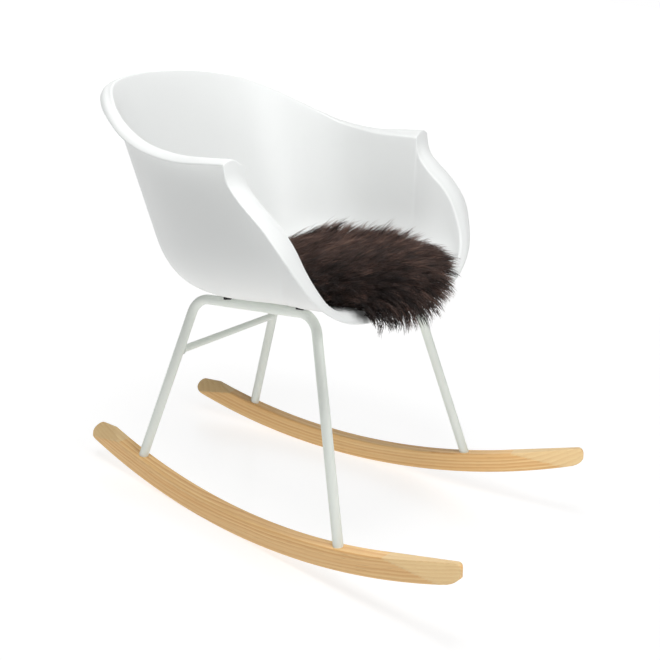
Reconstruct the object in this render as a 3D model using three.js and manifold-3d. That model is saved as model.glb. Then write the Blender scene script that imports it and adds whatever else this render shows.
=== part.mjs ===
// Rocking chair: a moulded bucket armchair shell on a bent-tube frame with two ash rockers and a
// loose sheepskin. Millimetres, +Z up, the sitter faces -Y, +X is the sitter's left.
//
// The chair is drawn in a design frame whose origin lies under the middle of the rockers' arc.
// At the end the whole chair is turned by REST_TILT about the arc's centre, which is the angle at
// which the empty chair comes to rest: its centre of mass is then right above the floor contact.
// The part's own origin is on the floor, in the middle of the box round the resting chair.
import * as THREE from "three";
import { mergeVertices } from "three/addons/utils/BufferGeometryUtils.js";
import Module from "manifold-3d";

const wasm = await Module();
wasm.setup();

// ---- driving dimensions ---------------------------------------------------------------------
const GAP = 0.3;                     // clearance between touching pieces
const REST_TILT = 8.4;               // degrees, backwards, of the empty chair at rest

const SHELL_WALL = 4.5;
const SEAT_CENTRE = [0, 85, 374];    // lowest middle of the seat's upper face
const FLOOR_ROUNDING = 95;           // reach of the rounding between seat and wall
const CREST_ROUNDING = 7;            // reach of the rounding between wall and flange

const TUBE_RADIUS = 8;
const TUBE_BORE = 6.5;
const BEND_RADIUS = 36;
const FRONT_FOOT = [222.6, -110.6, 39];   // leg axes where they enter the rockers, sitter's left
const BACK_FOOT = [163.5, 303, 79];
const FRONT_CORNER = [152, -29, 361];     // leg and rail axes meet here, before the bend
const BACK_CORNER = [125, 209.5, 353];
const CROSSBAR_RADIUS = 6;
const CROSSBAR_HEIGHT = 264;

const ROCKER_RADIUS = 1050;          // underside
const ROCKER_DEPTH = 33;
const ROCKER_WIDTH = 26;
const ROCKER_HALF_TRACK = 207;       // rocker's middle to the chair's centre plane, at y = 0
const ROCKER_TOE = 8.1;              // degrees that each rocker turns in towards the back
const ROCKER_FRONT = -318;           // ends, along the rocker
const ROCKER_BACK = 429;
const ROCKER_FACET = 3.2;            // degrees of arc between the flats of the underside
const SOCKET_DEPTH = 12;
const FLAT_TRIM = 0.9;               // depth of the level flat under each rocker

const STRAP_WIDTH = 30;
const STRAP_THICKNESS = 4;
const STRAP_PLACES = [18, 168];      // y of the two cross straps under the seat
const BOSS_OFFSET = 96;              // x of the seat bosses
const BOSS_RADIUS = 10;
const PAD_PLACES = [-4, 140];        // y of the spacer pads on each rail

// ---- materials ------------------------------------------------------------------------------
function material(color, roughness, metalness) {
  return new THREE.MeshStandardMaterial({ color, roughness, metalness });
}
const whitePlastic = material(0xf4f4f2, 0.42, 0);
const paintedSteel = material(0xdfe3de, 0.35, 0.1);
const ash = material(0xd8ab6b, 0.55, 0);
const blackRubber = material(0x161616, 0.8, 0);
const zincSteel = material(0xb9bcc0, 0.35, 1);
const brass = material(0xb8964f, 0.35, 1);
const sheepskin = material(0x3c2d26, 0.95, 0);

// ---- small helpers --------------------------------------------------------------------------
const point = (p) => new THREE.Vector3(p[0], p[1], p[2]);
const onSide = (p, side) => new THREE.Vector3(p[0] * side, p[1], p[2]);
const sideName = (side) => (side > 0 ? "left" : "right");

// Leans the chair back about the centre of the rockers' arc and sets its flats on the floor.
function restingPlace() {
  const tilt = THREE.MathUtils.degToRad(REST_TILT);
  const place = new THREE.Matrix4().makeRotationX(-tilt);
  return place.setPosition(
    0, -ROCKER_RADIUS * Math.sin(tilt), ROCKER_RADIUS * (1 - Math.cos(tilt)) - FLAT_TRIM);
}

const chair = new THREE.Group();

function add(name, geometry, finish) {
  const mesh = new THREE.Mesh(geometry, finish);
  mesh.name = name;
  chair.add(mesh);
}

function toSolid(geometry) {
  const bare = geometry.clone();
  bare.deleteAttribute("normal");
  bare.deleteAttribute("uv");
  const merged = mergeVertices(bare, 1e-4);
  return new wasm.Manifold(new wasm.Mesh({
    numProp: 3,
    vertProperties: new Float32Array(merged.attributes.position.array),
    triVerts: new Uint32Array(merged.index.array),
  }));
}

function toGeometry(solid) {
  const mesh = solid.getMesh();
  const geometry = new THREE.BufferGeometry();
  geometry.setAttribute("position", new THREE.BufferAttribute(mesh.vertProperties, 3));
  geometry.setIndex(new THREE.BufferAttribute(mesh.triVerts, 1));
  return geometry;
}

// A round bar between two points.
function bar(from, to, radius, sides = 16) {
  const axis = new THREE.Vector3().subVectors(to, from);
  const geometry = new THREE.CylinderGeometry(radius, radius, axis.length(), sides);
  const turn = new THREE.Quaternion().setFromUnitVectors(
    new THREE.Vector3(0, 1, 0), axis.clone().normalize());
  geometry.applyQuaternion(turn);
  const middle = new THREE.Vector3().addVectors(from, to).multiplyScalar(0.5);
  return geometry.translate(middle.x, middle.y, middle.z);
}

// A turned piece: the profile is [radius, height] pairs, its axis runs from base along direction.
function turned(profile, base, direction, sides = 16) {
  const geometry = new THREE.LatheGeometry(profile.map(([r, h]) => new THREE.Vector2(r, h)), sides);
  geometry.applyQuaternion(new THREE.Quaternion().setFromUnitVectors(
    new THREE.Vector3(0, 1, 0), direction.clone().normalize()));
  return geometry.translate(base.x, base.y, base.z);
}

// ---- seat shell -----------------------------------------------------------------------------
// Three guide lines run round the shell on the sitter's left, point for point: the crest, where
// wall and flange meet; the flange's free edge; and the foot, where wall and seat would meet
// without their rounding. The first set runs from the middle of the front lip up the S-shaped
// front edge to the arm's tip, the second from the arm's tip along the rim to the middle of the back.
const FRONT_CREST = [
  [0, -96, 369], [110, -97, 371], [178, -96, 379], [216, -94, 396], [236, -87, 420], [247, -75, 448],
  [252, -60, 480], [254, -40, 507], [254, -16, 529], [256.5, 4, 550], [260, 13, 568], [262, 17, 590],
];
const FRONT_EDGE = [
  [0, -110, 350], [110, -110, 352], [180, -107, 363], [228, -101, 384], [263, -92, 413], [286, -78, 450],
  [299, -64, 479], [304, -40, 511], [305, -14, 536], [304.5, 4, 554], [307, 13, 570], [308, 17.5, 594],
];
const FRONT_FOOT_LINE = [
  [0, -74, 380], [105, -74, 380], [170, -72, 380], [206, -64, 380], [220, -50, 379], [226, -38, 379],
  [229, -28, 378], [230, -18, 378], [231, -10, 378], [231, -2, 377], [231, 6, 377], [231, 14, 377],
];
const RIM_CREST = [
  [262, 17, 590], [261.5, 60, 592], [262.5, 100, 595], [264.5, 140, 602], [264, 178, 612], [257, 215, 629],
  [240, 252, 649], [212, 289, 671], [172, 322, 689], [120, 343, 699], [60, 353, 704], [0, 356, 705],
];
const RIM_FOOT_LINE = [
  [231, 14, 377], [231, 46, 375], [230, 77, 374], [227, 106, 373], [220, 136, 372], [208, 163, 371],
  [191, 190, 370], [166, 214, 369], [133, 231, 368], [94, 242, 368], [47, 248, 368], [0, 250, 368],
];
const RIM_FLANGE_WIDTH = [46, 43, 38, 32, 26, 22, 20, 20, 20, 20, 20, 20];
const RIM_FLANGE_DROP = [-4, -1, 3, 6, 7, 9, 9, 12, 14, 14, 14, 14];

const FRONT_COLUMNS = 38;
const RIM_COLUMNS = 38;

// A smooth line through the points and their mirror images, from the right side to the left.
function mirroredCurve(points, startsAtCentre) {
  const right = points.map((p) => onSide(p, -1));
  const left = points.map((p) => onSide(p, 1));
  const line = startsAtCentre
    ? [...right.reverse(), ...left.slice(1)]
    : [...left, ...right.reverse().slice(1)];
  return new THREE.CatmullRomCurve3(line, false, "catmullrom", 0.5);
}

function flangeEdge(crest) {
  return crest.map((p, i) => {
    const before = crest[Math.max(i - 1, 0)];
    const after = i < crest.length - 1 ? crest[i + 1] : [-before[0], before[1], before[2]];
    const outward = new THREE.Vector3(after[1] - before[1], before[0] - after[0], 0).normalize();
    return [
      p[0] + outward.x * RIM_FLANGE_WIDTH[i],
      p[1] + outward.y * RIM_FLANGE_WIDTH[i],
      p[2] - RIM_FLANGE_DROP[i],
    ];
  });
}

// One section of the shell's upper face, from the seat's centre out to the flange's free edge.
function shellSection(crest, edge, foot) {
  const centre = point(SEAT_CENTRE);
  const between = (a, b, t) => new THREE.Vector3().lerpVectors(a, b, t);
  const corner = (a, k, b, t) => between(between(a, k, t), between(k, b, t), t);
  const toCentre = foot.distanceTo(centre);
  const toCrest = foot.distanceTo(crest);
  const seatEnd = between(foot, centre, Math.min(FLOOR_ROUNDING, 0.6 * toCentre) / toCentre);
  const wallStart = between(foot, crest, Math.min(FLOOR_ROUNDING, 0.75 * toCrest) / toCrest);
  const wallEnd = between(crest, wallStart, CREST_ROUNDING / crest.distanceTo(wallStart) / 1.2);
  const flangeStart = between(crest, edge, CREST_ROUNDING / crest.distanceTo(edge));
  const rows = [between(centre, seatEnd, 0.5)];
  for (const t of [0, 0.2, 0.4, 0.6, 0.8, 1]) rows.push(corner(seatEnd, foot, wallStart, t));
  rows.push(between(wallStart, wallEnd, 0.5));
  for (const t of [0, 0.5, 1]) rows.push(corner(wallEnd, crest, flangeStart, t));
  rows.push(edge);
  return rows;
}

function shellColumns() {
  const columns = [];
  const sweep = (crest, edge, foot, count) => {
    for (let i = 0; i < count; i += 1) {
      const t = i / count;
      columns.push(shellSection(crest.getPoint(t), edge.getPoint(t), foot.getPoint(t)));
    }
  };
  sweep(mirroredCurve(FRONT_CREST, true), mirroredCurve(FRONT_EDGE, true),
    mirroredCurve(FRONT_FOOT_LINE, true), FRONT_COLUMNS);
  sweep(mirroredCurve(RIM_CREST, false), mirroredCurve(flangeEdge(RIM_CREST), false),
    mirroredCurve(RIM_FOOT_LINE, false), RIM_COLUMNS);
  return columns;
}

// The lower face lies SHELL_WALL behind the upper one, mitred where the surface turns a corner.
function lowerPoint(columns, i, j) {
  const n = columns.length;
  const here = columns[i][j];
  const inner = j > 0 ? columns[i][j - 1] : point(SEAT_CENTRE);
  const outer = columns[i][Math.min(j + 1, columns[i].length - 1)];
  const along = new THREE.Vector3().subVectors(outer, inner);
  const before = new THREE.Vector3().subVectors(here, columns[(i + n - 1) % n][j]).cross(along).normalize();
  const after = new THREE.Vector3().subVectors(columns[(i + 1) % n][j], here).cross(along).normalize();
  const mean = new THREE.Vector3().addVectors(before, after).normalize();
  return here.clone().addScaledVector(mean, SHELL_WALL / Math.max(mean.dot(after), 0.6));
}

function shellSkin() {
  const columns = shellColumns();
  const n = columns.length;
  const rows = columns[0].length;
  const vertices = [point(SEAT_CENTRE), point(SEAT_CENTRE).add(new THREE.Vector3(0, 0, -SHELL_WALL))];
  const triangles = [];
  const upper = (i, j) => 2 + ((i % n) * rows + j) * 2;
  const lower = (i, j) => upper(i, j) + 1;
  for (let i = 0; i < n; i += 1) {
    for (let j = 0; j < rows; j += 1) vertices.push(columns[i][j], lowerPoint(columns, i, j));
  }
  for (let i = 0; i < n; i += 1) {
    triangles.push(0, upper(i, 0), upper(i + 1, 0), 1, lower(i + 1, 0), lower(i, 0));
    for (let j = 0; j < rows - 1; j += 1) {
      triangles.push(upper(i, j), upper(i, j + 1), upper(i + 1, j));
      triangles.push(upper(i + 1, j), upper(i, j + 1), upper(i + 1, j + 1));
      triangles.push(lower(i, j), lower(i + 1, j), lower(i, j + 1));
      triangles.push(lower(i + 1, j), lower(i + 1, j + 1), lower(i, j + 1));
    }
    const last = rows - 1;
    triangles.push(upper(i, last), lower(i, last), upper(i + 1, last));
    triangles.push(upper(i + 1, last), lower(i, last), lower(i + 1, last));
  }
  const geometry = new THREE.BufferGeometry().setFromPoints(vertices);
  geometry.setIndex(triangles);
  return geometry;
}

// Height of the seat's flat part, which rises towards the front lip.
function seatHeight(y) {
  return 374 - 0.04 * (y - 85);
}

// Height of the axis of the rails.
function railHeight(y) {
  const t = (y - FRONT_CORNER[1]) / (BACK_CORNER[1] - FRONT_CORNER[1]);
  return FRONT_CORNER[2] + t * (BACK_CORNER[2] - FRONT_CORNER[2]);
}

function railOffset(y) {
  const t = (y - FRONT_CORNER[1]) / (BACK_CORNER[1] - FRONT_CORNER[1]);
  return FRONT_CORNER[0] + t * (BACK_CORNER[0] - FRONT_CORNER[0]);
}

// The straps lie level with the top of the rail's side, so the bosses reach down to this height.
const strapTop = (y) => railHeight(y) + STRAP_THICKNESS / 2;

function seatShell() {
  let shell = toSolid(shellSkin());
  for (const y of STRAP_PLACES) {
    for (const side of [-1, 1]) {
      const foot = new THREE.Vector3(side * BOSS_OFFSET, y, strapTop(y) + GAP);
      const head = new THREE.Vector3(side * BOSS_OFFSET, y, seatHeight(y) - 2);
      shell = shell.add(toSolid(bar(foot, head, BOSS_RADIUS, 20)));
      const boreStart = foot.clone().add(new THREE.Vector3(0, 0, -1));
      const boreEnd = foot.clone().add(new THREE.Vector3(0, 0, 9));
      shell = shell.subtract(toSolid(bar(boreStart, boreEnd, 4.5, 16)));
    }
  }
  return toGeometry(shell);
}

// ---- bent tube frame ------------------------------------------------------------------------
// A path given station by station, so that only the bends are divided finely.
class StationPath extends THREE.Curve {
  constructor(stations) {
    super();
    this.stations = stations;
  }

  getPointAt(u) {
    return this.stations[Math.round(u * (this.stations.length - 1))].clone();
  }

  getTangentAt(u) {
    const i = Math.round(u * (this.stations.length - 1));
    const before = this.stations[Math.max(i - 1, 0)];
    const after = this.stations[Math.min(i + 1, this.stations.length - 1)];
    const arriving = new THREE.Vector3().subVectors(this.stations[i], before).normalize();
    const leaving = new THREE.Vector3().subVectors(after, this.stations[i]).normalize();
    return arriving.add(leaving).normalize();
  }
}

function bendStations(before, corner, after, radius, count) {
  const back = new THREE.Vector3().subVectors(before, corner).normalize();
  const ahead = new THREE.Vector3().subVectors(after, corner).normalize();
  const half = back.angleTo(ahead) / 2;
  const middle = new THREE.Vector3().addVectors(back, ahead).normalize();
  const centre = corner.clone().addScaledVector(middle, radius / Math.sin(half));
  const start = corner.clone().addScaledVector(back, radius / Math.tan(half)).sub(centre);
  const axis = new THREE.Vector3().crossVectors(start, ahead).normalize();
  const sweep = Math.PI - 2 * half;
  return Array.from({ length: count + 1 }, (_, i) =>
    start.clone().applyAxisAngle(axis, (sweep * i) / count).add(centre));
}

function ringShape(outer, inner, sides) {
  const circle = (radius, count) => Array.from({ length: count }, (_, i) => {
    const angle = (2 * Math.PI * i) / count;
    return new THREE.Vector2(radius * Math.cos(angle), radius * Math.sin(angle));
  });
  const shape = new THREE.Shape(circle(outer, sides));
  if (inner > 0) shape.holes.push(new THREE.Path(circle(inner, sides - 4)));
  return shape;
}

// The foot point moved along its leg: below zero is down into the rocker.
function alongLeg(foot, corner, distance) {
  const up = new THREE.Vector3().subVectors(corner, foot).normalize();
  return foot.clone().addScaledVector(up, distance);
}

function sideFrame(side) {
  const [frontFoot, frontCorner] = [onSide(FRONT_FOOT, side), onSide(FRONT_CORNER, side)];
  const [backFoot, backCorner] = [onSide(BACK_FOOT, side), onSide(BACK_CORNER, side)];
  const stations = [
    alongLeg(frontFoot, frontCorner, GAP - SOCKET_DEPTH),
    ...bendStations(frontFoot, frontCorner, backCorner, BEND_RADIUS, 7),
    ...bendStations(frontCorner, backCorner, backFoot, BEND_RADIUS, 7),
    alongLeg(backFoot, backCorner, GAP - SOCKET_DEPTH),
  ];
  return new THREE.ExtrudeGeometry(ringShape(TUBE_RADIUS, TUBE_BORE, 16), {
    steps: stations.length - 1,
    bevelEnabled: false,
    extrudePath: new StationPath(stations),
  });
}

function rearCrossbar() {
  const t = (CROSSBAR_HEIGHT - BACK_FOOT[2]) / (BACK_CORNER[2] - BACK_FOOT[2]);
  const x = BACK_FOOT[0] + t * (BACK_CORNER[0] - BACK_FOOT[0]);
  const y = BACK_FOOT[1] + t * (BACK_CORNER[1] - BACK_FOOT[1]);
  const reach = x - TUBE_RADIUS - 1.2;
  return bar(new THREE.Vector3(-reach, y, CROSSBAR_HEIGHT),
    new THREE.Vector3(reach, y, CROSSBAR_HEIGHT), CROSSBAR_RADIUS, 16);
}

// A flat steel strap between the rails, drilled for the two seat screws above it.
function crossStrap(y) {
  const shortest = railOffset(y + STRAP_WIDTH / 2) - TUBE_RADIUS - 0.5;
  const blank = new THREE.BoxGeometry(2 * shortest, STRAP_WIDTH, STRAP_THICKNESS);
  blank.translate(0, y, strapTop(y) - STRAP_THICKNESS / 2);
  let strap = toSolid(blank);
  for (const side of [-1, 1]) {
    const top = new THREE.Vector3(side * BOSS_OFFSET, y, strapTop(y) + 1);
    const bottom = top.clone().add(new THREE.Vector3(0, 0, -STRAP_THICKNESS - 2));
    strap = strap.subtract(toSolid(bar(bottom, top, 3.4, 16)));
  }
  return toGeometry(strap);
}

// ---- rockers --------------------------------------------------------------------------------
// In the rocker's own frame Y runs along it and X across it.
const arcHeight = (radius, s) => ROCKER_RADIUS - Math.sqrt(radius * radius - s * s);

// A block with one face on the plane through three points, on the side of outside.
function cutterOn(a, b, c, outside) {
  const size = 300;
  const normal = new THREE.Plane().setFromCoplanarPoints(a, b, c).normal.clone();
  if (normal.dot(new THREE.Vector3().subVectors(outside, a)) < 0) normal.negate();
  const block = new THREE.BoxGeometry(size, size, size);
  block.applyQuaternion(new THREE.Quaternion().setFromUnitVectors(new THREE.Vector3(0, 0, 1), normal));
  const centre = a.clone().addScaledVector(normal, size / 2);
  return toSolid(block.translate(centre.x, centre.y, centre.z));
}

function rockerSideOutline() {
  const top = ROCKER_RADIUS - ROCKER_DEPTH;
  const tipDrop = 10;              // how far the planed ramps cut the ends down
  const rampStart = { front: -200, back: 315 };
  const outline = new THREE.Shape();
  const step = THREE.MathUtils.degToRad(ROCKER_FACET);
  const rest = THREE.MathUtils.degToRad(REST_TILT);
  outline.moveTo(ROCKER_FRONT, arcHeight(ROCKER_RADIUS, ROCKER_FRONT));
  for (let k = -20; k < 20; k += 1) {
    const s = ROCKER_RADIUS * Math.sin(rest + (k + 0.5) * step);
    if (s > ROCKER_FRONT + 8 && s < ROCKER_BACK - 8) outline.lineTo(s, arcHeight(ROCKER_RADIUS, s));
  }
  outline.lineTo(ROCKER_BACK, arcHeight(ROCKER_RADIUS, ROCKER_BACK));
  outline.lineTo(ROCKER_BACK, arcHeight(top, ROCKER_BACK) - tipDrop);
  const topSteps = 16;
  for (let i = 0; i <= topSteps; i += 1) {
    const s = rampStart.back + ((rampStart.front - rampStart.back) * i) / topSteps;
    outline.lineTo(s, arcHeight(top, s));
  }
  outline.lineTo(ROCKER_FRONT, arcHeight(top, ROCKER_FRONT) - tipDrop);
  return outline;
}

// The plan view: straight sides and rounded ends.
function rockerPlanOutline() {
  const half = ROCKER_WIDTH / 2;
  const round = 11;
  const plan = new THREE.Shape();
  plan.absarc(half - round, ROCKER_FRONT + round, round, -Math.PI / 2, 0, false);
  plan.absarc(half - round, ROCKER_BACK - round, round, 0, Math.PI / 2, false);
  plan.absarc(round - half, ROCKER_BACK - round, round, Math.PI / 2, Math.PI, false);
  plan.absarc(round - half, ROCKER_FRONT + round, round, Math.PI, 1.5 * Math.PI, false);
  return plan;
}

// The planed facet on the right-hand edge of each end: it starts at the top edge and runs out
// through the underside just before the tip.
function endFacet(start, runOut, tip) {
  const half = ROCKER_WIDTH / 2;
  const top = ROCKER_RADIUS - ROCKER_DEPTH;
  return cutterOn(
    new THREE.Vector3(-half, start, arcHeight(top, start)),
    new THREE.Vector3(-half, runOut, arcHeight(ROCKER_RADIUS, runOut)),
    new THREE.Vector3(-2, tip, arcHeight(top, tip) - 10),
    new THREE.Vector3(-4 * half, runOut, arcHeight(top, runOut) + 40));
}

function rockerBlank() {
  const side = new THREE.ExtrudeGeometry(rockerSideOutline(), {
    depth: ROCKER_WIDTH, bevelEnabled: false, curveSegments: 8,
  });
  // The outline's first axis becomes Y, its second Z, and the extrusion runs along X.
  side.applyMatrix4(new THREE.Matrix4().makeBasis(
    new THREE.Vector3(0, 1, 0), new THREE.Vector3(0, 0, 1), new THREE.Vector3(1, 0, 0)));
  side.translate(-ROCKER_WIDTH / 2, 0, 0);
  const plan = new THREE.ExtrudeGeometry(rockerPlanOutline(), {
    depth: 260, bevelEnabled: false, curveSegments: 4,
  });
  plan.translate(0, 0, -20);
  return toSolid(side)
    .intersect(toSolid(plan))
    .subtract(endFacet(-200, -292, ROCKER_FRONT))
    .subtract(endFacet(315, 400, ROCKER_BACK));
}

// Everything below the floor in the resting attitude: it trims one level flat under each rocker.
function floorBlock() {
  const depth = 40;
  const block = new THREE.BoxGeometry(700, 900, depth).translate(0, 0, -depth / 2);
  return toSolid(block.applyMatrix4(restingPlace().invert()));
}

function rocker(side) {
  const placed = toGeometry(rockerBlank());
  placed.rotateZ(side * THREE.MathUtils.degToRad(ROCKER_TOE));
  placed.translate(side * ROCKER_HALF_TRACK, 0, 0);
  let solid = toSolid(placed).subtract(floorBlock());
  for (const [foot, corner] of [[FRONT_FOOT, FRONT_CORNER], [BACK_FOOT, BACK_CORNER]]) {
    const [f, c] = [onSide(foot, side), onSide(corner, side)];
    const socket = bar(alongLeg(f, c, -SOCKET_DEPTH), alongLeg(f, c, 20), TUBE_RADIUS + GAP, 20);
    const boltHole = bar(alongLeg(f, c, -60), alongLeg(f, c, 0), 3.4, 16);
    const headHole = bar(alongLeg(f, c, -60), alongLeg(f, c, -SOCKET_DEPTH - 14), 6.5, 16);
    solid = solid.subtract(toSolid(socket)).subtract(toSolid(boltHole)).subtract(toSolid(headHole));
  }
  return toGeometry(solid);
}

// ---- hardware -------------------------------------------------------------------------------
// A threaded plug closes each leg tube, flush with its end.
function legPlug(foot, corner) {
  const start = alongLeg(foot, corner, GAP - SOCKET_DEPTH);
  const direction = new THREE.Vector3().subVectors(corner, foot);
  const [outer, inner, length] = [TUBE_BORE - GAP, 3.3, 16];
  return turned([[inner, 0], [outer, 0], [outer, length], [inner, length], [inner, 0]],
    start, direction, 16);
}

// The bolt that holds the leg: its button head sits in the counterbore under the rocker.
function legBolt(foot, corner) {
  const seat = alongLeg(foot, corner, -SOCKET_DEPTH - 14 - GAP);
  const direction = new THREE.Vector3().subVectors(corner, foot);
  return turned([[0, -3.2], [3.4, -3.2], [5.4, -1.6], [5.8, 0], [3, 0], [3, 26], [0, 26]],
    seat, direction, 14);
}

function seatScrew(x, y) {
  const seat = new THREE.Vector3(x, y, strapTop(y) - STRAP_THICKNESS - 2 * GAP - 1.2);
  return turned([[0, -3.2], [3.6, -3.2], [5.6, -1.8], [6, 0], [3, 0], [3, 12], [0, 12]],
    seat, new THREE.Vector3(0, 0, 1), 14);
}

function seatWasher(x, y) {
  const seat = new THREE.Vector3(x, y, strapTop(y) - STRAP_THICKNESS - GAP - 1.2);
  return turned([[3.3, 0], [7.5, 0], [7.5, 1.2], [3.3, 1.2], [3.3, 0]],
    seat, new THREE.Vector3(0, 0, 1), 16);
}

function bossInsert(x, y) {
  const seat = new THREE.Vector3(x, y, strapTop(y) + GAP);
  return turned([[3.2, 0], [4.2, 0], [4.2, 8.5], [3.2, 8.5], [3.2, 0]],
    seat, new THREE.Vector3(0, 0, 1), 16);
}

// A black pad that keeps the shell off the paint: flat on top, hollowed to sit on the rail.
function spacerPad(side, y) {
  const [width, length] = [12, 14];
  const x = side * railOffset(y);
  const top = seatHeight(y) - SHELL_WALL - 0.7;
  const blank = new THREE.BoxGeometry(width, length, 6).translate(x, y, top - 3);
  const slope = (BACK_CORNER[2] - FRONT_CORNER[2]) / (BACK_CORNER[1] - FRONT_CORNER[1]);
  const heading = (FRONT_CORNER[0] - BACK_CORNER[0]) / (FRONT_CORNER[1] - BACK_CORNER[1]);
  const reach = 40;
  const rail = bar(
    new THREE.Vector3(x - side * heading * reach, y - reach, railHeight(y) - slope * reach),
    new THREE.Vector3(x + side * heading * reach, y + reach, railHeight(y) + slope * reach),
    TUBE_RADIUS + GAP, 24);
  return toGeometry(toSolid(blank).subtract(toSolid(rail)));
}

// ---- sheepskin ------------------------------------------------------------------------------
// A plain pad on the seat: a rounded outline, a crowned top and a thin edge.
function sheepskinPad() {
  const [halfWidth, front, back] = [176, -98, 182];
  const [edge, crown, edgeLift] = [14, 44, 16];
  const [rings, sides] = [5, 28];
  const middle = (front + back) / 2;
  const halfLength = (back - front) / 2;
  const squareness = 2.6;
  const rim = (angle) => {
    const [c, s] = [Math.cos(angle), Math.sin(angle)];
    const reach = (Math.abs(c) ** squareness + Math.abs(s) ** squareness) ** (-1 / squareness);
    return [halfWidth * reach * c, halfLength * reach * s];
  };
  const vertices = [];
  const addPair = (x, y, share) => {
    const bottom = seatHeight(y) + 2 + edgeLift * share ** 4;
    const rise = edge + (crown - edge) * Math.cos((share * Math.PI) / 2);
    vertices.push(new THREE.Vector3(x, y, bottom + rise), new THREE.Vector3(x, y, bottom));
  };
  addPair(0, middle, 0);
  for (let i = 0; i < sides; i += 1) {
    const [x, y] = rim((2 * Math.PI * i) / sides);
    for (let j = 1; j <= rings; j += 1) addPair((x * j) / rings, middle + (y * j) / rings, j / rings);
  }
  const upper = (i, j) => 2 + ((i % sides) * rings + j) * 2;
  const lower = (i, j) => upper(i, j) + 1;
  const triangles = [];
  for (let i = 0; i < sides; i += 1) {
    triangles.push(0, upper(i, 0), upper(i + 1, 0), 1, lower(i + 1, 0), lower(i, 0));
    for (let j = 0; j < rings - 1; j += 1) {
      triangles.push(upper(i, j), upper(i, j + 1), upper(i + 1, j));
      triangles.push(upper(i + 1, j), upper(i, j + 1), upper(i + 1, j + 1));
      triangles.push(lower(i, j), lower(i + 1, j), lower(i, j + 1));
      triangles.push(lower(i + 1, j), lower(i + 1, j + 1), lower(i, j + 1));
    }
    const last = rings - 1;
    triangles.push(upper(i, last), lower(i, last), upper(i + 1, last));
    triangles.push(upper(i + 1, last), lower(i, last), lower(i + 1, last));
  }
  const geometry = new THREE.BufferGeometry().setFromPoints(vertices);
  geometry.setIndex(triangles);
  return geometry;
}

// ---- assembly -------------------------------------------------------------------------------
add("seat_shell", seatShell(), whitePlastic);
add("rear_crossbar", rearCrossbar(), paintedSteel);
add("front_cross_strap", crossStrap(STRAP_PLACES[0]), paintedSteel);
add("rear_cross_strap", crossStrap(STRAP_PLACES[1]), paintedSteel);
add("sheepskin_pad", sheepskinPad(), sheepskin);

for (const side of [-1, 1]) {
  const hand = sideName(side);
  add(`side_frame_${hand}`, sideFrame(side), paintedSteel);
  add(`rocker_${hand}`, rocker(side), ash);
  const ends = [["front", FRONT_FOOT, FRONT_CORNER, 0], ["rear", BACK_FOOT, BACK_CORNER, 1]];
  for (const [end, foot, corner, place] of ends) {
    const y = STRAP_PLACES[place];
    const x = side * BOSS_OFFSET;
    add(`leg_plug_${end}_${hand}`, legPlug(onSide(foot, side), onSide(corner, side)), zincSteel);
    add(`leg_bolt_${end}_${hand}`, legBolt(onSide(foot, side), onSide(corner, side)), zincSteel);
    add(`spacer_pad_${end}_${hand}`, spacerPad(side, PAD_PLACES[place]), blackRubber);
    add(`seat_screw_${end}_${hand}`, seatScrew(x, y), zincSteel);
    add(`seat_washer_${end}_${hand}`, seatWasher(x, y), zincSteel);
    add(`boss_insert_${end}_${hand}`, bossInsert(x, y), brass);
  }
}

chair.applyMatrix4(restingPlace());
chair.updateMatrixWorld(true);

// The part's origin is on the floor, in the middle of the box round the chair.
const extent = new THREE.Box3().setFromObject(chair, true);
chair.position.y -= (extent.min.y + extent.max.y) / 2;

export default chair;
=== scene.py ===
"""Rocking chair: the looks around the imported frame.

The chair's parts are drawn in a design frame, in millimetres, whose origin lies under the middle of the
rockers' arc (+X is the sitter's left, the sitter faces -Y). placed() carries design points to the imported
frame, in metres, where the chair leans back by REST_TILT on its rockers.

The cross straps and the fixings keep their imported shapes. The shell, the tubes, the rockers and the
sheepskin are drawn again here, smoother and with their finer detail.
"""
import math

import bmesh
import bpy
import numpy as np
from mathutils import Matrix, Vector
from mathutils.bvhtree import BVHTree


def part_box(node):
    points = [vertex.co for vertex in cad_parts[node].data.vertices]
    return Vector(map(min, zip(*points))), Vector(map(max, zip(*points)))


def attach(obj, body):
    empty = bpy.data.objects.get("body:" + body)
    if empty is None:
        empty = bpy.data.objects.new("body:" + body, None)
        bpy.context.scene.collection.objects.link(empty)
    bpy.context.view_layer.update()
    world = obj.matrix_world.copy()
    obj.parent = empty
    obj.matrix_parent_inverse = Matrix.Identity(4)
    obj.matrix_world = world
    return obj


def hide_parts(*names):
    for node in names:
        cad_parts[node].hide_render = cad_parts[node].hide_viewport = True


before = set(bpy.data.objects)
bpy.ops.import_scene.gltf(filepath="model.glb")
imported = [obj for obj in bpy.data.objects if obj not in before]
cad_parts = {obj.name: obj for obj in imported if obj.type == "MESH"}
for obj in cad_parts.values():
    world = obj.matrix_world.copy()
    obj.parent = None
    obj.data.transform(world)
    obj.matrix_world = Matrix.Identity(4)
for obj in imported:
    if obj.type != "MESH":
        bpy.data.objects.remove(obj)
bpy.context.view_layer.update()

MM = 0.001

# ---- driving dimensions, millimetres in the design frame ----
REST_TILT = math.radians(8.4)
SHELL_WALL = 4.5
SEAT_CENTRE = (0, 85, 374)  # lowest middle of the seat's upper face
SEAT_RISE = 0.04  # towards the front lip
FLOOR_ROUNDING = 95  # reach of the rounding between seat and wall
CREST_ROUNDING = 7  # reach of the rounding between wall and flange
FLANGE_ROLL = 0.26  # how far the rim bulges over the straight, as a share of its width

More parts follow.
